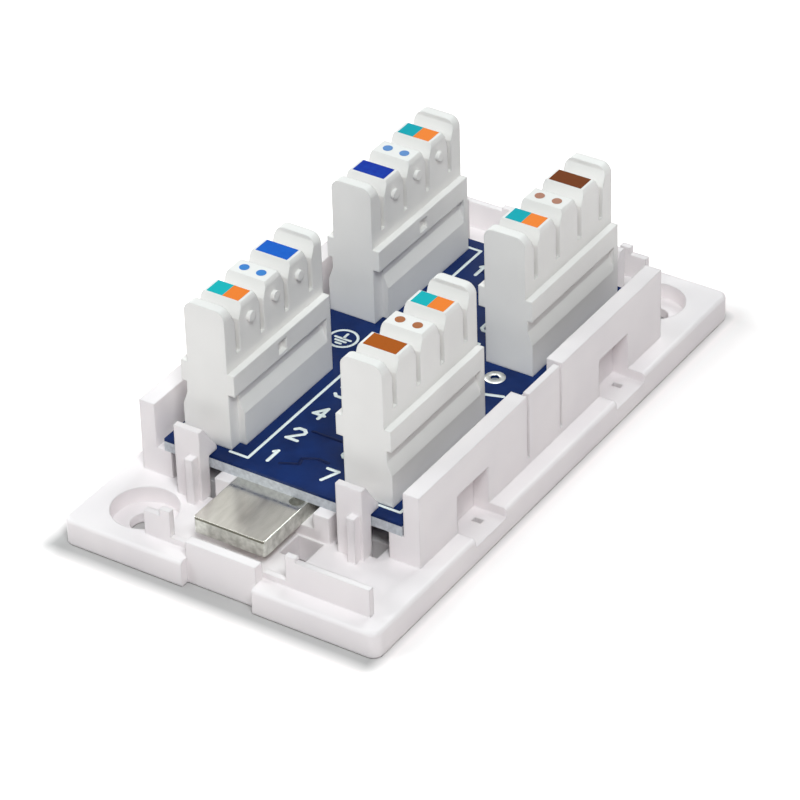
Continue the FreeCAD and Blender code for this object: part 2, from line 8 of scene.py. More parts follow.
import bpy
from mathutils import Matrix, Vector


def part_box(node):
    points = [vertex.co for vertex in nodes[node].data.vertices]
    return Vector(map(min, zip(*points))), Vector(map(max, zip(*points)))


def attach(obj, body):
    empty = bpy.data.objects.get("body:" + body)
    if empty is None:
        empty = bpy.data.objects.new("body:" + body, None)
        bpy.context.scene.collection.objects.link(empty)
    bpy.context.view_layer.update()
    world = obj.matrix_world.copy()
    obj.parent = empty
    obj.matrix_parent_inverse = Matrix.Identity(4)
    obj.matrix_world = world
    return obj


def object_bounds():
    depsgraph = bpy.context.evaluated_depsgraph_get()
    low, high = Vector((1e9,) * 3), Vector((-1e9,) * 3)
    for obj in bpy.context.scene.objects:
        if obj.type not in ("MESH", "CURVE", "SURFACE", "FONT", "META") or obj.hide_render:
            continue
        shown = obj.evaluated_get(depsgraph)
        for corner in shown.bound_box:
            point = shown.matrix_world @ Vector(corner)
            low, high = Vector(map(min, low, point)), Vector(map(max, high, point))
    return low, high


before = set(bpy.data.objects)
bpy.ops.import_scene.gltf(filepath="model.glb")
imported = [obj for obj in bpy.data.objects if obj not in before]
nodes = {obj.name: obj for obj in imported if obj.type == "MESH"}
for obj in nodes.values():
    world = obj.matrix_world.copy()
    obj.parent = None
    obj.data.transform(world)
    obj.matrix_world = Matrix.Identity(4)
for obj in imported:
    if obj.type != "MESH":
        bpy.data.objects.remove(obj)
cad_box = [list(corner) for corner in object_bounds()]

import math
import bpy
from mathutils import Matrix, Vector

MM = 0.001
print("solids:", len(nodes), "box:", cad_box)

# %% [markdown]
# A few small helpers serve every step. Colours are written as the eye sees them, in sRGB
# hex, and one function turns them into the linear numbers that shaders work with. One adds
# a node with its settings and links in a single call. The others give a colour ramp its
# two ends, start a material with one Principled shader, and turn the width of a spot into
# the scale of a noise.

# %% Helpers for colours and shader nodes
def colour(text):
    """Turns an sRGB hex colour into linear RGBA."""
    parts = [int(text[i:i + 2], 16) / 255 for i in (1, 3, 5)]
    linear = [p / 12.92 if p <= 0.04045 else ((p + 0.055) / 1.055) ** 2.4 for p in parts]
    return (*linear, 1.0)


def add_node(tree, kind, links=None, values=None, **settings):
    """Adds a node, sets its properties, fills its inputs and links sockets into it."""
    node = tree.nodes.new(kind)
    for name, value in settings.items():
        setattr(node, name, value)
    for name, value in (values or {}).items():
        node.inputs[name].default_value = value
    for name, socket in (links or {}).items():
        tree.links.new(socket, node.inputs[name])
    return node


def set_ramp(ramp, *stops):
    """Gives a colour ramp's two ends their places and colours."""
    for element, (place, tint) in zip(ramp.color_ramp.elements, stops):
        element.position = place
        element.color = colour(tint)
    return ramp.outputs["Color"]


def new_material(name):
    """Starts a material with a Principled shader wired to its output."""
    material = bpy.data.materials.new(name)
    material.use_nodes = True
    tree = material.node_tree
    tree.nodes.clear()
    shader = add_node(tree, "ShaderNodeBsdfPrincipled")
    add_node(tree, "ShaderNodeOutputMaterial", {"Surface": shader.outputs["BSDF"]})
    place = add_node(tree, "ShaderNodeTexCoord").outputs["Object"]
    return material, tree, shader, place


def per_metre(width):
    """Gives the noise scale whose spots are about this many millimetres wide."""
    return 1.0 / (width * MM)


print("helpers ready, mid grey is", colour("#808080")[0])

# %% [markdown]
# The tray and the blocks are injection mouldings, the tray of ABS and the blocks of PBT.
# A moulding is never one flat white: the tone drifts a little where the melt cooled at
# different speeds, the eroded skin of the tool leaves a fine grain, and each edge has a
# small radius that catches the light. The drift is a broad noise, the grain a fine noise
# used as bump. A Bevel node rounds the edges in shading only, so that the solids keep
# their meshes.

# %% Moulded plastics
MELT_DRIFT, GRAIN_DEPTH = 9, 0.02
GLOSS_SPREAD = 0.05
PLASTIC_IOR = 1.53


def moulded_plastic(name, light, dark, grain_width, edge, roughness):
    """Makes a white plastic from its two tones, its grain, its edge radius and its gloss."""
    material, tree, shader, place = new_material(name)
    drift = add_node(tree, "ShaderNodeTexNoise", {"Vector": place},
                     {"Scale": per_metre(MELT_DRIFT), "Detail": 2})
    tone = add_node(tree, "ShaderNodeValToRGB", {"Fac": drift.outputs["Fac"]})
    tree.links.new(set_ramp(tone, (0.35, dark), (0.65, light)), shader.inputs["Base Color"])
    grain = add_node(tree, "ShaderNodeTexNoise", {"Vector": place},
                     {"Scale": per_metre(grain_width), "Detail": 3})
    gloss = add_node(tree, "ShaderNodeMapRange", {"Value": grain.outputs["Fac"]},
                     {"From Min": 0.3, "From Max": 0.7,
                      "To Min": roughness - GLOSS_SPREAD, "To Max": roughness + GLOSS_SPREAD})
    tree.links.new(gloss.outputs["Result"], shader.inputs["Roughness"])
    rounded = add_node(tree, "ShaderNodeBevel", values={"Radius": edge * MM}, samples=6)
    bump = add_node(tree, "ShaderNodeBump",
                    {"Height": grain.outputs["Fac"], "Normal": rounded.outputs["Normal"]},
                    {"Strength": 0.12, "Distance": GRAIN_DEPTH * MM})
    tree.links.new(bump.outputs["Normal"], shader.inputs["Normal"])
    shader.inputs["IOR"].default_value = PLASTIC_IOR
    return material


# ABS: a cool white with a satin skin
tray_abs = moulded_plastic("moulded ABS", "#F2EAEB", "#ECE4E6",
                           grain_width=0.5, edge=0.25, roughness=0.42)
# PBT: harder, a shade warmer, with a finer skin
block_pbt = moulded_plastic("moulded PBT", "#EFEBE9", "#E9E5E3",
                            grain_width=0.4, edge=0.2, roughness=0.45)
print("plastics:", tray_abs.name, "and", block_pbt.name)

# %% [markdown]
# The board and the plate look different on their faces and on their cut sides, so their
# shaders have to know which is which. The surface normal tells it: its part along an axis
# is near one where the surface faces that way. The height of a place tells how far below
# the top edge it lies.

# %% Helpers that tell faces from sides
def faces_along(tree, axis, least):
    """Gives 1 where the surface faces along an axis, either way, and 0 elsewhere."""
    normal = add_node(tree, "ShaderNodeNewGeometry").outputs["Normal"]
    share = add_node(tree, "ShaderNodeSeparateXYZ", {"Vector": normal}).outputs[axis]
    size = add_node(tree, "ShaderNodeMath", {0: share}, operation="ABSOLUTE")
    return add_node(tree, "ShaderNodeMath", {0: size.outputs["Value"]}, {1: least},
                    operation="GREATER_THAN").outputs["Value"]


def lies_above(tree, place, height):
    """Gives 1 where a place lies above a height and 0 below it."""
    up = add_node(tree, "ShaderNodeSeparateXYZ", {"Vector": place}).outputs["Z"]
    return add_node(tree, "ShaderNodeMath", {0: up}, {1: height},
                    operation="GREATER_THAN").outputs["Value"]


board_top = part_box("circuit_board")[1].z
plate_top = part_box("screen_plate")[1].z
print("board up to", board_top, "and plate up to", plate_top)

# %% [markdown]
# The board is glass-epoxy laminate under a blue solder mask, a lacquer on the two faces.
# The cut edge is blue in a band a third of a millimetre deep along its top, and below
# that it shows the pale laminate. The glass cloth shows through as a faint grid about
# half a millimetre wide.

# %% Circuit board
BLUE_EDGE_BAND, MASK_CLOUD = 0.35, 2.5
FIBRE, CLOTH, CLOTH_DEPTH = 0.4, 0.5, 0.01


def board_laminate():
    """Makes the board's laminate, blue on its faces and along the top of its edge, pale below.
    """
    material, tree, shader, place = new_material("glass-epoxy laminate with blue mask")
    # blue on the faces and on a band along the top of the edge, pale on the rest of the edge
    blue_faces_and_edge_band = add_node(tree, "ShaderNodeMath",
                      {0: faces_along(tree, "Z", least=0.5),
                       1: lies_above(tree, place, board_top - BLUE_EDGE_BAND * MM)},
                      operation="MAXIMUM").outputs["Value"]
    cloud = add_node(tree, "ShaderNodeTexNoise", {"Vector": place},
                     {"Scale": per_metre(MASK_CLOUD), "Detail": 3})
    mask = add_node(tree, "ShaderNodeValToRGB", {"Fac": cloud.outputs["Fac"]})
    fibre = add_node(tree, "ShaderNodeTexNoise", {"Vector": place},
                     {"Scale": per_metre(FIBRE), "Detail": 2})
    cut = add_node(tree, "ShaderNodeValToRGB", {"Fac": fibre.outputs["Fac"]})
    # inputs 6 and 7 of a Mix node that works on colours are its A and B
    skin = add_node(tree, "ShaderNodeMix",
                    {0: blue_faces_and_edge_band, 6: set_ramp(cut, (0.3, "#B4B6BC"), (0.7, "#CCCED4")),
                     7: set_ramp(mask, (0.3, "#071F4F"), (0.7, "#0C2961"))}, data_type="RGBA")
    tree.links.new(skin.outputs[2], shader.inputs["Base Color"])
    gloss = add_node(tree, "ShaderNodeMapRange", {"Value": blue_faces_and_edge_band},
                     {"To Min": 0.75, "To Max": 0.35})
    tree.links.new(gloss.outputs["Result"], shader.inputs["Roughness"])
    shader.inputs["Specular IOR Level"].default_value = 0.1
    cloth = add_node(tree, "ShaderNodeTexChecker", {"Vector": place},
                     {"Scale": per_metre(CLOTH)})
    bump = add_node(tree, "ShaderNodeBump", {"Height": cloth.outputs["Fac"]},
                    {"Strength": 0.05, "Distance": CLOTH_DEPTH * MM})
    tree.links.new(bump.outputs["Normal"], shader.inputs["Normal"])
    return material


laminate = board_laminate()
print("board:", laminate.name)

# %% [markdown]
# The screen plate is a thick strip of zinc-plated steel, rolled, sheared to length and
# then plated. Its top is smooth enough to mirror the block behind it, with a soft mottle
# in the plating and a trace of the rolling along Y. The sheared sides are paler and
# duller. A dark line just under the top edge of the ends is a painted reflection of
# the rounded edge.

# %% Rolled metal strip
ROLLING, ALONG_ROLLING = 0.6, (1, 0.2, 1)
MOTTLE, MOTTLE_DEPTH = 0.7, 0.02
# how far the painted reflection reaches down the ends, and the radius of the edges
PAINTED_EDGE_REFLECTION, STRIP_EDGE = 0.3, 0.15


def rolled_strip():
    """Makes the plate's steel, smooth on its faces and dull where it was sheared."""
    material, tree, shader, place = new_material("zinc-plated steel strip")
    stretch = add_node(tree, "ShaderNodeMapping", {"Vector": place}, {"Scale": ALONG_ROLLING})
    rolling = add_node(tree, "ShaderNodeTexNoise", {"Vector": stretch.outputs["Vector"]},
                       {"Scale": per_metre(ROLLING), "Detail": 3})
    mottle = add_node(tree, "ShaderNodeTexNoise", {"Vector": place},
                      {"Scale": per_metre(MOTTLE), "Detail": 4})
    flat = faces_along(tree, "Z", least=0.5)
    # painted reflection: the ends are drawn dark just under their top edge
    line = add_node(tree, "ShaderNodeMath",
                    {0: faces_along(tree, "Y", least=0.7),
                     1: lies_above(tree, place, plate_top - PAINTED_EDGE_REFLECTION * MM)},
                    operation="MULTIPLY")
    rolled = add_node(tree, "ShaderNodeValToRGB", {"Fac": rolling.outputs["Fac"]})
    cut = add_node(tree, "ShaderNodeValToRGB", {"Fac": mottle.outputs["Fac"]})
    skin = add_node(tree, "ShaderNodeMix",
                    {0: flat, 6: set_ramp(cut, (0.35, "#BBBBB4"), (0.65, "#DADAD4")),
                     7: set_ramp(rolled, (0.3, "#D6D3CB"), (0.7, "#E5E2DB"))},
                    data_type="RGBA")
    with_edge_reflection = add_node(tree, "ShaderNodeMix", {0: line.outputs["Value"], 6: skin.outputs[2]},
                     {7: colour("#77756A")}, data_type="RGBA")
    tree.links.new(with_edge_reflection.outputs[2], shader.inputs["Base Color"])
    smooth = add_node(tree, "ShaderNodeMapRange", {"Value": mottle.outputs["Fac"]},
                      {"To Min": 0.12, "To Max": 0.26})
    # inputs 2 and 3 of a Mix node that works on numbers are its A and B
    gloss = add_node(tree, "ShaderNodeMix", {0: flat, 3: smooth.outputs["Result"]}, {2: 0.6})
    tree.links.new(gloss.outputs[0], shader.inputs["Roughness"])
    rounded = add_node(tree, "ShaderNodeBevel", values={"Radius": STRIP_EDGE * MM}, samples=6)
    bump = add_node(tree, "ShaderNodeBump",
                    {"Height": mottle.outputs["Fac"], "Normal": rounded.outputs["Normal"]},
                    {"Strength": 0.15, "Distance": MOTTLE_DEPTH * MM})
    tree.links.new(bump.outputs["Normal"], shader.inputs["Normal"])
    shader.inputs["Metallic"].default_value = 1.0
    return material


strip_steel = rolled_strip()
print("strip:", strip_steel.name)

# %% [markdown]
# The contacts are stamped from tinned bronze, and the ring round the plated hole in the
# board is tin as well. Tin is a soft bright grey with a slightly uneven surface, so one
# recipe does for both, with a noise in its tone and its roughness.

# %% Tinned metal
TIN_CLOUD, TIN_SPREAD = 0.6, 0.1


def tinned_metal(name, light, dark, roughness):
    """Makes a tinned metal from its two tones and its roughness."""
    material, tree, shader, place = new_material(name)
    cloud = add_node(tree, "ShaderNodeTexNoise", {"Vector": place},
                     {"Scale": per_metre(TIN_CLOUD), "Detail": 3})
    tone = add_node(tree, "ShaderNodeValToRGB", {"Fac": cloud.outputs["Fac"]})
    tree.links.new(set_ramp(tone, (0.3, dark), (0.7, light)), shader.inputs["Base Color"])
    gloss = add_node(tree, "ShaderNodeMapRange", {"Value": cloud.outputs["Fac"]},
                     {"To Min": roughness - TIN_SPREAD, "To Max": roughness + TIN_SPREAD})
    tree.links.new(gloss.outputs["Result"], shader.inputs["Roughness"])
    shader.inputs["Metallic"].default_value = 1.0
    return material


contact_tin = tinned_metal("tinned bronze", "#D8D4C8", "#BDB7A6", roughness=0.35)
solder_tin = tinned_metal("solder", "#F2F2EE", "#DADAD4", roughness=0.45)
print("tinned metals:", contact_tin.name, "and", solder_tin.name)

# %% [markdown]
# The print is epoxy ink: white on the board, and four colours on the blocks. Pad-printed
# ink lies a little unevenly, so a fine noise varies its tone, and the film is heavier on
# the rear blocks than on the front ones, so the tone also drifts slowly along Y. A dot
# takes less ink than a bar and comes out paler. Each ink is its own material, because
# each is its own pot of paint.

# %% Inks
INK_CLOUD, INK_SPREAD = 0.5, 0.15
INK_DRIFT = 16


def print_ink(name, front, rear):
    """Makes an ink from its tones at the front and at the rear of the board."""
    material, tree, shader, place = new_material(name)
    cloud = add_node(tree, "ShaderNodeTexNoise", {"Vector": place},
                     {"Scale": per_metre(INK_CLOUD), "Detail": 3})
    along = add_node(tree, "ShaderNodeSeparateXYZ", {"Vector": place}).outputs["Y"]
    drift = add_node(tree, "ShaderNodeMapRange", {"Value": along},
                     {"From Min": -INK_DRIFT * MM, "From Max": INK_DRIFT * MM})
    uneven = add_node(tree, "ShaderNodeMapRange", {"Value": cloud.outputs["Fac"]},
                      {"To Min": -INK_SPREAD, "To Max": INK_SPREAD})
    mixed = add_node(tree, "ShaderNodeMath",
                     {0: drift.outputs["Result"], 1: uneven.outputs["Result"]},
                     operation="ADD")
    tone = add_node(tree, "ShaderNodeValToRGB", {"Fac": mixed.outputs["Value"]})
    tree.links.new(set_ramp(tone, (0.0, front), (1.0, rear)), shader.inputs["Base Color"])
    shader.inputs["Roughness"].default_value = 0.5
    shader.inputs["Specular IOR Level"].default_value = 0.1
    return material


white_ink = print_ink("white epoxy ink", "#EDF3F2", "#E4EAEA")
BAR_INKS = {
    "teal": print_ink("teal pad ink", "#12AFB6", "#0AA0AE"),
    "orange": print_ink("orange pad ink", "#EE7F30", "#F28436"),
    "blue": print_ink("blue pad ink", "#1666CC", "#00128E"),
    "brown": print_ink("brown pad ink", "#A85412", "#6C330C"),
}
DOT_INKS = {
    "blue": print_ink("thin blue pad ink", "#3C80CA", "#648EC7"),
    "brown": print_ink("thin brown pad ink", "#AA6842", "#AF7E6B"),
}
print("inks:", [ink.name for ink in (white_ink, *BAR_INKS.values(), *DOT_INKS.values())])

# %% [markdown]
# The solids now take their materials. A node keeps its mesh, and only its material slots
# change.

# %% Dress the solids
def dress(name, material):
    """Gives a solid its material."""
    mesh = nodes[name].data
    mesh.materials.clear()
    mesh.materials.append(material)


dress("base_tray", tray_abs)
dress("circuit_board", laminate)
dress("screen_plate", strip_steel)
for name in nodes:
    if name.endswith("_block"):
        dress(name, block_pbt)
    elif "_contact_" in name:
        dress(name, contact_tin)
print("dressed", len(nodes), "solids")

# %% [markdown]
# Print and marks repeat from block to block, so Geometry Nodes place them: a mesh of
# single points says where, one small shape says what, and the tree puts a copy on every
# point. These helpers build the frame that all such trees share. Each tree ends by making
# its copies real and giving them their material.

# %% Helpers that start and end a tree
def new_tree(name, sizes):
    """Starts a tree with a geometry, a material and one named input for each size."""
    tree = bpy.data.node_groups.new(name, "GeometryNodeTree")
    tree.interface.new_socket("Geometry", in_out="INPUT", socket_type="NodeSocketGeometry")
    tree.interface.new_socket("Geometry", in_out="OUTPUT", socket_type="NodeSocketGeometry")
    tree.interface.new_socket("Material", in_out="INPUT", socket_type="NodeSocketMaterial")
    for label in sizes:
        tree.interface.new_socket(label, in_out="INPUT", socket_type="NodeSocketFloat")
    return tree, tree.nodes.new("NodeGroupInput")


def end_tree(tree, given, shape):
    """Ends a tree: makes any copies real and sets their material."""
    real = add_node(tree, "GeometryNodeRealizeInstances", {"Geometry": shape})
    inked = add_node(tree, "GeometryNodeSetMaterial",
                     {"Geometry": real.outputs["Geometry"],
                      "Material": given.outputs["Material"]})
    add_node(tree, "NodeGroupOutput", {"Geometry": inked.outputs["Geometry"]})
    return tree


def end_with_copies(tree, given, shape):
    """Copies a shape to every point and ends the tree."""
    copies = add_node(tree, "GeometryNodeInstanceOnPoints",
                      {"Points": given.outputs["Geometry"], "Instance": shape})
    return end_tree(tree, given, copies.outputs["Instances"])


print("trees can be built")

# %% [markdown]
# Running a tree takes a mesh of points and a modifier whose inputs are set by their
# identifiers. The result is made a plain mesh, with its place in its points, the modifier
# goes, and the piece rides on the only body.

# %% Helper that runs a tree
def run_tree(name, tree, points, material, slot, pairs=(), **sizes):
    """Runs a tree on points, joined in pairs or not, and keeps the result as a mesh."""
    seeds = bpy.data.meshes.new(name + "_points")
    seeds.from_pydata([tuple(point) for point in points], pairs, [])
    piece = bpy.data.objects.new(name, seeds)
    bpy.context.scene.collection.objects.link(piece)
    modifier = piece.modifiers.new("copies", "NODES")
    modifier.node_group = tree
    for socket in tree.interface.items_tree:
        if socket.in_out == "INPUT" and socket.name == "Material":
            modifier[socket.identifier] = material
        elif socket.in_out == "INPUT" and socket.name in sizes:
            modifier[socket.identifier] = sizes[socket.name] * MM
    bpy.context.view_layer.update()
    seen = piece.evaluated_get(bpy.context.evaluated_depsgraph_get())
    mesh = bpy.data.meshes.new_from_object(seen)
    piece.modifiers.clear()
    piece.data = mesh
    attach(piece, "root")
    print(name, "from", len(points), "points has", len(mesh.polygons), "faces")
    return piece


print("trees can be run")

# %% [markdown]
# Everything on the board is drawn with strokes: lines, symbols and numbers. A board's
# artwork is drawn by a round spot of light that runs from place to place, so each stroke
# has round ends. One tree does the same: it turns each pair of points into a straight
# path, sweeps a flat profile along it and lays a thin disc on both ends. A number is then
# a list of places, and its corners come out round and full.

# %% Tree for strokes
SAME_PLACE = 0.01
DISC_SHARE, DISC_SIDES = 0.7, 16


def stroke_tree():
    """Builds the tree that draws strokes, with their width and their thickness as inputs."""
    tree, given = new_tree("drawn stroke", ["Line", "Ink"])
    path = add_node(tree, "GeometryNodeMeshToCurve", {"Mesh": given.outputs["Geometry"]})
    profile = add_node(tree, "GeometryNodeCurvePrimitiveQuadrilateral",
                       {"Width": given.outputs["Line"], "Height": given.outputs["Ink"]},
                       mode="RECTANGLE")
    swept = add_node(tree, "GeometryNodeCurveToMesh",
                     {"Curve": path.outputs["Curve"], "Profile Curve": profile.outputs["Curve"]},
                     {"Fill Caps": True})
    corners = add_node(tree, "GeometryNodeMergeByDistance",
                       {"Geometry": given.outputs["Geometry"]}, {"Distance": SAME_PLACE * MM})
    radius = add_node(tree, "ShaderNodeMath", {0: given.outputs["Line"]}, {1: 0.5},
                      operation="MULTIPLY")
    depth = add_node(tree, "ShaderNodeMath", {0: given.outputs["Ink"]}, {1: DISC_SHARE},
                     operation="MULTIPLY")
    disc = add_node(tree, "GeometryNodeMeshCylinder",
                    {"Radius": radius.outputs["Value"], "Depth": depth.outputs["Value"]},
                    {"Vertices": DISC_SIDES})
    ends = add_node(tree, "GeometryNodeInstanceOnPoints",
                    {"Points": corners.outputs["Geometry"], "Instance": disc.outputs["Mesh"]})
    both = tree.nodes.new("GeometryNodeJoinGeometry")
    for part in (swept.outputs["Mesh"], ends.outputs["Instances"]):
        tree.links.new(part, both.inputs["Geometry"])
    return end_tree(tree, given, both.outputs["Geometry"])


stroke = stroke_tree()
print("strokes use", stroke.name)

# %% [markdown]
# A drawing is a list of lines, and a line is a list of places on the board. Faces that lie
# in one plane would shade each other, so strokes that meet differ in height by two
# thousandths of a millimetre, and the discs are a little thinner than the strokes.

# %% Helper that draws strokes
INK = 0.04
LEVELS, LEVEL_STEP = 5, 0.002


def draw_strokes(name, lines, width, material, ink=INK):
    """Draws lines through places on the board, given in millimetres."""
    points = []
    for line in lines:
        for number, leg in enumerate(zip(line, line[1:])):
            height = board_top / MM + ink / 2 + number % LEVELS * LEVEL_STEP
            points += [Vector((x, y, height)) * MM for x, y in leg]
    pairs = [(i, i + 1) for i in range(0, len(points), 2)]
    return run_tree(name, stroke, points, material, "board_laminate", pairs,
                    Line=width, Ink=ink)


print("ink is", INK, "mm thick, on a board up to", board_top / MM, "mm high")

# %% [markdown]
# White lines show where each block goes. They are open towards the middle of the board:
# a left block has an inner line with a short foot at its far end, and an outer line. On
# the right, where the numbers stand close to the block, an end line takes the place of
# the inner one.

# %% Block outlines
def middle(name):
    """Gives the middle of a solid's box, in millimetres."""
    low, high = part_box(name)
    return (low + high) / 2 / MM


INNER_LINE, OUTER_LINE, END_LINE = 4.95, 4.55, 9.55
FOOT, SHORT_END = 2.3, 3.0
OUTLINE_WIDTH = 0.36
outlines = []
for name in ("front_left_block", "front_right_block", "rear_left_block", "rear_right_block"):
    centre = middle(name)
    inward = -math.copysign(1, centre.x)
    outward = math.copysign(1, centre.y)
    inner, outer = centre.x + inward * INNER_LINE, centre.x - inward * OUTER_LINE
    near, far = centre.y - outward * END_LINE, centre.y + outward * END_LINE
    if centre.x < 0:
        outlines.append([(inner, near), (inner, far), (inner - inward * FOOT, far)])
        outlines.append([(outer, near), (outer, far)])
    else:
        outlines.append([(centre.x + inward * SHORT_END, far), (outer, far), (outer, near)])
draw_strokes("block_outlines", outlines, OUTLINE_WIDTH, white_ink)

# %% [markdown]
# Two more marks are printed in white: a short dash beside the plated hole, and the usual
# symbol for protective earth, a stem over three bars that get shorter, in a circle.

# %% Dash and earth symbol
DASH, DASH_WIDTH = [(10.2, -0.75), (12.6, 0.0)], 0.45
draw_strokes("dash_mark", [DASH], DASH_WIDTH, white_ink)

EARTH_X, EARTH_Y, EARTH_WIDTH = -8.8, 0.6, 0.32
STEM, CIRCLE, CIRCLE_LEGS = 1.0, 1.7, 24
# how far each bar lies under the foot of the stem, and half its length
EARTH_BARS = [(0.0, 1.0), (0.5, 0.65), (1.0, 0.3)]
symbol = [[(EARTH_X, EARTH_Y), (EARTH_X, EARTH_Y + STEM)]]
for down, half in EARTH_BARS:
    symbol.append([(EARTH_X - half, EARTH_Y - down), (EARTH_X + half, EARTH_Y - down)])
turns = [math.radians(360 / CIRCLE_LEGS * leg) for leg in range(CIRCLE_LEGS + 1)]
symbol.append([(EARTH_X + CIRCLE * math.cos(turn), EARTH_Y + CIRCLE * math.sin(turn))
               for turn in turns])
draw_strokes("earth_symbol", symbol, EARTH_WIDTH, white_ink)

# %% [markdown]
# Each wire has a number on the board, beside its slot on the inner side of the block. A
# digit is one line through places on a grid four steps wide and six steps high.

# %% Terminal numbers
DIGITS = {
    "1": [(1, 5), (2, 6), (2, 0)],
    "2": [(0, 5), (1, 6), (3, 6), (4, 5), (4, 4), (0, 0), (4, 0)],
    "3": [(0, 5), (1, 6), (3, 6), (4, 5), (4, 4), (3, 3), (4, 2), (4, 1), (3, 0), (1, 0),
          (0, 1)],
    "4": [(3, 0), (3, 6), (0, 2), (4, 2)],
    "5": [(4, 6), (0, 6), (0, 3.5), (3, 3.5), (4, 2.5), (4, 1), (3, 0), (1, 0), (0, 1)],
    "6": [(4, 5), (3, 6), (1, 6), (0, 5), (0, 1), (1, 0), (3, 0), (4, 1), (4, 2.5), (3, 3.5),
          (0, 3.5)],
    "7": [(0, 6), (4, 6), (1.5, 0)],
    "8": [(1, 3), (0, 4), (0, 5), (1, 6), (3, 6), (4, 5), (4, 4), (3, 3), (1, 3), (0, 2),
          (0, 1), (1, 0), (3, 0), (4, 1), (4, 2), (3, 3)],
}
GRID_ACROSS, GRID_UP, GRID_STEP = 4, 6, 0.35
DIGIT_ASIDE = {"left": -2.9, "right": 4.2}
DIGIT_FORWARD, DIGIT_WIDTH = 0.9, 0.42
NUMBERS = {"front_left": "1243", "front_right": "7865",
           "rear_left": "3421", "rear_right": "5687"}

lines = []
for corner, digits in NUMBERS.items():
    x = DIGIT_ASIDE[corner.split("_")[1]]
    for number, digit in enumerate(digits, start=1):
        y = middle("%s_contact_%d" % (corner, number)).y - DIGIT_FORWARD
        lines.append([(x + (across - GRID_ACROSS / 2) * GRID_STEP,
                       y + (up - GRID_UP / 2) * GRID_STEP) for across, up in DIGITS[digit]])
draw_strokes("terminal_numbers", lines, DIGIT_WIDTH, white_ink)

# %% [markdown]
# Under the mask lies copper, with narrow gaps etched between the tracks. The mask looks
# darker over a gap. A few gaps show between the numbers, and the board repeats them half
# a turn round. They are drawn as strokes of a darker mask, a hundredth of a millimetre
# thick.

# %% Etched gaps
GAPS = [
    [(-1.5, -22.8), (0.4, -21.9), (0.1, -20.9), (1.6, -20.1), (3.0, -20.2)],
    [(-1.7, -16.1), (2.2, -16.1)],
]
GAP_WIDTH, GAP_DEPTH = 0.45, 0.01
turned_gaps = [[(-x, -y) for x, y in gap] for gap in GAPS]
dark_mask = print_ink("blue mask over a gap", "#061741", "#081B4A")
draw_strokes("etched_gaps", GAPS + turned_gaps, GAP_WIDTH, dark_mask, GAP_DEPTH)

# %% [markdown]
# One hole in the board is plated and has a tinned ring around it. The ring is a flat
# profile swept round a circle.

# %% Plated ring
RING_X, RING_Y = 9.9, 2.7
RING_OUTER, RING_HOLE, RING_SIDES = 2.4, 1.0, 48
TIN = 0.05


def ring_tree():
    """Builds the tree for a flat ring, with its middle radius, width and thickness."""
    tree, given = new_tree("plated ring", ["Radius", "Width", "Tin"])
    path = add_node(tree, "GeometryNodeCurvePrimitiveCircle",
                    {"Radius": given.outputs["Radius"]}, {"Resolution": RING_SIDES})
    profile = add_node(tree, "GeometryNodeCurvePrimitiveQuadrilateral",
                       {"Width": given.outputs["Width"], "Height": given.outputs["Tin"]},
                       mode="RECTANGLE")
    swept = add_node(tree, "GeometryNodeCurveToMesh",
                     {"Curve": path.outputs["Curve"], "Profile Curve": profile.outputs["Curve"]})
    return end_with_copies(tree, given, swept.outputs["Mesh"])


ring_place = (RING_X * MM, RING_Y * MM, board_top + TIN / 2 * MM)
run_tree("plated_ring", ring_tree(), [ring_place], solder_tin, "board_laminate",
         Radius=(RING_OUTER + RING_HOLE) / 4, Width=(RING_OUTER - RING_HOLE) / 2, Tin=TIN)

# %% [markdown]
# Every tooth carries a colour: a bar across the first and last teeth and two dots on the
# middle one. Bars and dots repeat on all four blocks, so two trees make them: a thin
# block for a bar and a thin disc for a dot.

# %% Trees for bars and dots
DOT_SIDES = 24


def bar_tree():
    """Builds the tree for a printed bar, with its width, length and thickness."""
    tree, given = new_tree("printed bar", ["Width", "Length", "Ink"])
    size = add_node(tree, "ShaderNodeCombineXYZ",
                    {"X": given.outputs["Width"], "Y": given.outputs["Length"],
                     "Z": given.outputs["Ink"]})
    slab = add_node(tree, "GeometryNodeMeshCube", {"Size": size.outputs["Vector"]})
    return end_with_copies(tree, given, slab.outputs["Mesh"])


def dot_tree():
    """Builds the tree for a printed dot, with its radius and thickness."""
    tree, given = new_tree("printed dot", ["Radius", "Ink"])
    disc = add_node(tree, "GeometryNodeMeshCylinder",
                    {"Radius": given.outputs["Radius"], "Depth": given.outputs["Ink"]},
                    {"Vertices": DOT_SIDES})
    return end_with_copies(tree, given, disc.outputs["Mesh"])


bar, dot = bar_tree(), dot_tree()
print("marks use", bar.name, "and", dot.name)

# %% [markdown]
# On each block, one bar and the two dots next to it have the same colour. The other bar
# is shared by two colours, half each, side by side. The marks lie on the flat tops of the
# teeth, half a millimetre lower than the ends of the block.

# %% Colour marks on the teeth
TOOTH_PITCH, TOOTH_DROP = 4.63, 0.5
BAR_WIDTH, BAR_LENGTH = 4.1, 2.25
DOT_ASIDE, DOT_RADIUS = 1.1, 0.57
SHARED = "shared"
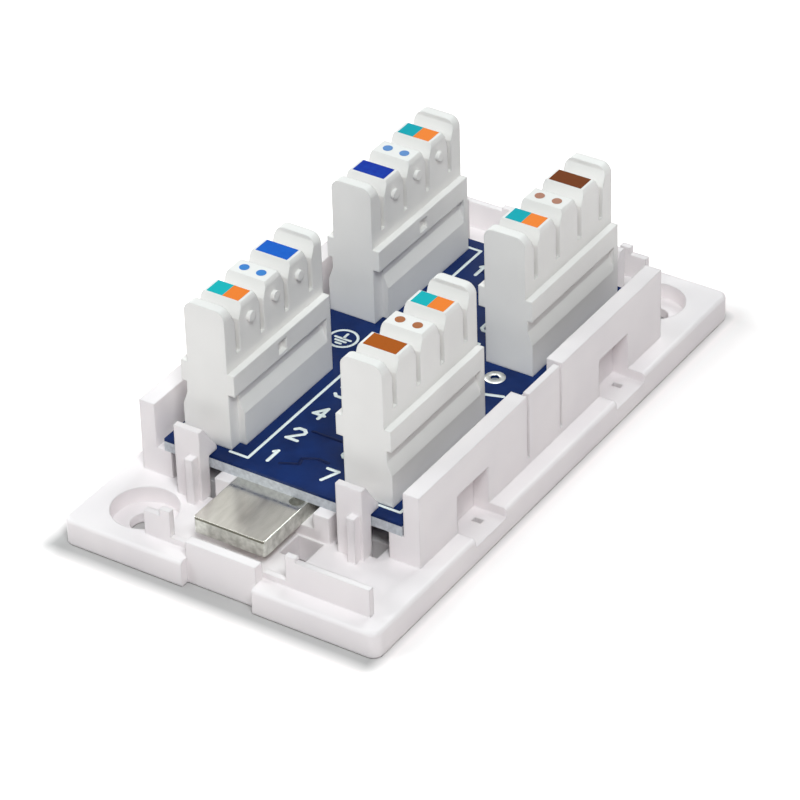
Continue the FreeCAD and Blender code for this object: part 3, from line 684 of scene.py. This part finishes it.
# first, middle and last tooth of each block, from the front
MARKS = {
    "front_left_block": (SHARED, "blue", "blue"),
    "rear_left_block": ("blue", "blue", SHARED),
    "front_right_block": ("brown", "brown", SHARED),
    "rear_right_block": (SHARED, "brown", "brown"),
}
whole_bars = {"blue": [], "brown": []}
half_bars = {"teal": [], "orange": []}
dots = {"blue": [], "brown": []}
for name, (first, dotted, last) in MARKS.items():
    x, y, _ = middle(name)
    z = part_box(name)[1].z / MM - TOOTH_DROP + INK / 2
    for mark, step in ((first, -TOOTH_PITCH), (last, TOOTH_PITCH)):
        if mark == SHARED:
            half_bars["teal"].append(Vector((x - BAR_WIDTH / 4, y + step, z)) * MM)
            half_bars["orange"].append(Vector((x + BAR_WIDTH / 4, y + step, z)) * MM)
        else:
            whole_bars[mark].append(Vector((x, y + step, z)) * MM)
    for aside in (-DOT_ASIDE, DOT_ASIDE):
        dots[dotted].append(Vector((x + aside, y, z)) * MM)
for bars, width in ((whole_bars, BAR_WIDTH), (half_bars, BAR_WIDTH / 2)):
    for tint, points in bars.items():
        run_tree(tint + "_bars", bar, points, BAR_INKS[tint], "block_plastic",
                 Width=width, Length=BAR_LENGTH, Ink=INK)
for tint, points in dots.items():
    run_tree(tint + "_dots", dot, points, DOT_INKS[tint], "block_plastic",
             Radius=DOT_RADIUS, Ink=INK)

# %% [markdown]
# The camera stands where the photograph was taken: to the right of the front end, a good
# third of the way up, with a long lens. Its place is given by an azimuth, an elevation, a
# small roll and a distance.

# %% Camera
AZIMUTH, ELEVATION, ROLL = math.radians(33.80), math.radians(34.82), math.radians(-1.84)
DISTANCE, ASIDE, ABOVE = 461.4, -0.91, 2.72
FOCAL_PIXELS, FRAME_PIXELS = 4116.5, 800
SENSOR_WIDTH = 36

level = Vector((math.cos(AZIMUTH), math.sin(AZIMUTH), 0))
ahead = Vector((-math.sin(AZIMUTH), math.cos(AZIMUTH), 0))
back = -math.cos(ELEVATION) * ahead + math.sin(ELEVATION) * Vector((0, 0, 1))
upward = back.cross(level)
right = math.cos(ROLL) * level + math.sin(ROLL) * upward
top = -math.sin(ROLL) * level + math.cos(ROLL) * upward
stand = (right * ASIDE + top * ABOVE + back * DISTANCE) * MM

camera = bpy.data.objects.new("camera", bpy.data.cameras.new("camera"))
camera.data.sensor_width = SENSOR_WIDTH
camera.data.lens = FOCAL_PIXELS / FRAME_PIXELS * SENSOR_WIDTH
camera.data.clip_start = 10 * MM
turned = Matrix((right, top, back)).transposed().to_4x4()
camera.matrix_world = Matrix.Translation(stand) @ turned
bpy.context.scene.collection.objects.link(camera)
bpy.context.scene.camera = camera
print("lens", round(camera.data.lens, 1), "mm")

# %% [markdown]
# The stage is a white table. Its paint is pale, and a little light of its own, seen by
# the camera and in reflections only, takes it to the white of the photograph. That light
# starts just outside the tray, so the table still takes the tray's shadow and nothing
# shines up through the slots in the floor. Close to the tray's front and left edges the
# paint is darker: a painted shadow, a narrow strip along those edges.

# %% Table paint
HALF_WIDTH, HALF_LENGTH, _ = [(high - low) / 2 for low, high in zip(*cad_box)]
# how far the painted shadow is moved to the front left, and how far out it reaches
PAINTED_SHADOW_SHIFT, PAINTED_SHADOW_REACH = 0.8, 1.8
GLOW_START, GLOW_END, GLOW = 0.5, 8, 0.5


def seen_rays(tree):
    """Gives 1 for what the camera sees, straight on, in a mirror or through glass."""
    path = add_node(tree, "ShaderNodeLightPath").outputs
    seen = add_node(tree, "ShaderNodeMath",
                    {0: path["Is Camera Ray"], 1: path["Is Glossy Ray"]}, operation="MAXIMUM")
    return add_node(tree, "ShaderNodeMath",
                    {0: seen.outputs["Value"], 1: path["Is Transmission Ray"]},
                    operation="MAXIMUM").outputs["Value"]


def outside(tree, place, shift):
    """Gives how far a place lies outside the tray's footprint, moved to the front left."""
    moved = add_node(tree, "ShaderNodeVectorMath", {0: place},
                     {1: (shift * MM, shift * MM, 0)}, operation="ADD")
    away = add_node(tree, "ShaderNodeVectorMath", {0: moved.outputs["Vector"]},
                    operation="ABSOLUTE")
    past = add_node(tree, "ShaderNodeVectorMath", {0: away.outputs["Vector"]},
                    {1: (HALF_WIDTH, HALF_LENGTH, 0)}, operation="SUBTRACT")
    # the second input stays at zero, so a place inside counts as no way outside
    past = add_node(tree, "ShaderNodeVectorMath", {0: past.outputs["Vector"]},
                    operation="MAXIMUM")
    return add_node(tree, "ShaderNodeVectorMath", {0: past.outputs["Vector"]},
                    operation="LENGTH").outputs["Value"]


def table_paint():
    """Makes the table's paint, with a painted shadow next to the tray and glowing further out.
    """
    material, tree, shader, place = new_material("white table paint with painted shadow")
    # painted shadow: the paint darkens close to the footprint, moved to the front left
    near = add_node(tree, "ShaderNodeMapRange", {"Value": outside(tree, place, PAINTED_SHADOW_SHIFT)},
                    {"From Min": 0.0, "From Max": PAINTED_SHADOW_REACH * MM})
    tone = add_node(tree, "ShaderNodeValToRGB", {"Fac": near.outputs["Result"]})
    tree.links.new(set_ramp(tone, (0.0, "#B8B4B4"), (1.0, "#FBF3F3")),
                   shader.inputs["Base Color"])
    shader.inputs["Roughness"].default_value = 0.9
    shader.inputs["Specular IOR Level"].default_value = 0.0
    fade = add_node(tree, "ShaderNodeMapRange", {"Value": outside(tree, place, 0)},
                    {"From Min": GLOW_START * MM, "From Max": GLOW_END * MM,
                     "To Min": 0.0, "To Max": GLOW})
    glow = add_node(tree, "ShaderNodeMath",
                    {0: seen_rays(tree), 1: fade.outputs["Result"]}, operation="MULTIPLY")
    shader.inputs["Emission Color"].default_value = colour("#FFFFFF")
    tree.links.new(glow.outputs["Value"], shader.inputs["Emission Strength"])
    return material


white_paint = table_paint()
print("table paint:", white_paint.name)

# %% [markdown]
# The table itself is one large square, three metres to each side. It lies a tenth of a
# millimetre under the tray, so that the two do not share a plane.

# %% Table
TABLE_REACH, TABLE_DROP = 3000 * MM, 0.1 * MM
corners = [(x * TABLE_REACH, y * TABLE_REACH, 0)
           for x, y in ((-1, -1), (1, -1), (1, 1), (-1, 1))]
table_mesh = bpy.data.meshes.new("table")
table_mesh.from_pydata(corners, [], [(0, 1, 2, 3)])
table_mesh.materials.append(white_paint)
table = bpy.data.objects.new("table", table_mesh)
table.location.z = -TABLE_DROP
bpy.context.scene.collection.objects.link(table)
print("table lies at", table.location.z)

# %% [markdown]
# Four round softboxes stand around the box, about two thirds of a metre away. The one at
# the front right is the strongest and shows the sides that face the camera. The left and
# the rear ones lift the tops. The size of a lamp is what makes a shadow soft, so each is
# a quarter of a metre wide.

# %% Lamps
LAMP_SIZE, LAMP_COLOUR = 250 * MM, "#F6FFFF"
LAMP_AIM = Vector((0, 0, 10 * MM))
# place in metres and power in watts
LAMPS = {
    "rear softbox": ((0.0, 0.42, 0.50), 1.3),
    "front right softbox": ((0.26, -0.28, 0.53), 2.75),
    "front left softbox": ((-0.36, -0.36, 0.38), 1.0),
    "left softbox": ((-0.60, 0.0, 0.25), 1.7),
}
for name, (place, power) in LAMPS.items():
    light = bpy.data.lights.new(name, "AREA")
    light.shape = "DISK"
    light.size = LAMP_SIZE
    light.energy = power
    light.color = colour(LAMP_COLOUR)[:3]
    lamp = bpy.data.objects.new(name, light)
    lamp.location = place
    lamp.rotation_euler = (LAMP_AIM - Vector(place)).to_track_quat("-Z", "Y").to_euler()
    bpy.context.scene.collection.objects.link(lamp)
print("lamps:", list(LAMPS))

# %% [markdown]
# The sky adds almost nothing to the light, so the recesses stay dark. Where the camera
# sees it, straight on or in a reflection, it is plain white.

# %% Sky
FILL = 0.03
world = bpy.data.worlds.new("studio")
bpy.context.scene.world = world
world.use_nodes = True
sky = world.node_tree
sky.nodes.clear()
fill = add_node(sky, "ShaderNodeBackground",
                values={"Color": colour("#FFEFEF"), "Strength": FILL})
white = add_node(sky, "ShaderNodeBackground",
                 values={"Color": colour("#FFFFFF"), "Strength": 1.0})
both = add_node(sky, "ShaderNodeMixShader",
                {0: seen_rays(sky), 1: fill.outputs["Background"],
                 2: white.outputs["Background"]})
add_node(sky, "ShaderNodeOutputWorld", {"Surface": both.outputs["Shader"]})
bpy.context.scene.view_settings.view_transform = "Standard"
print("sky:", world.name)
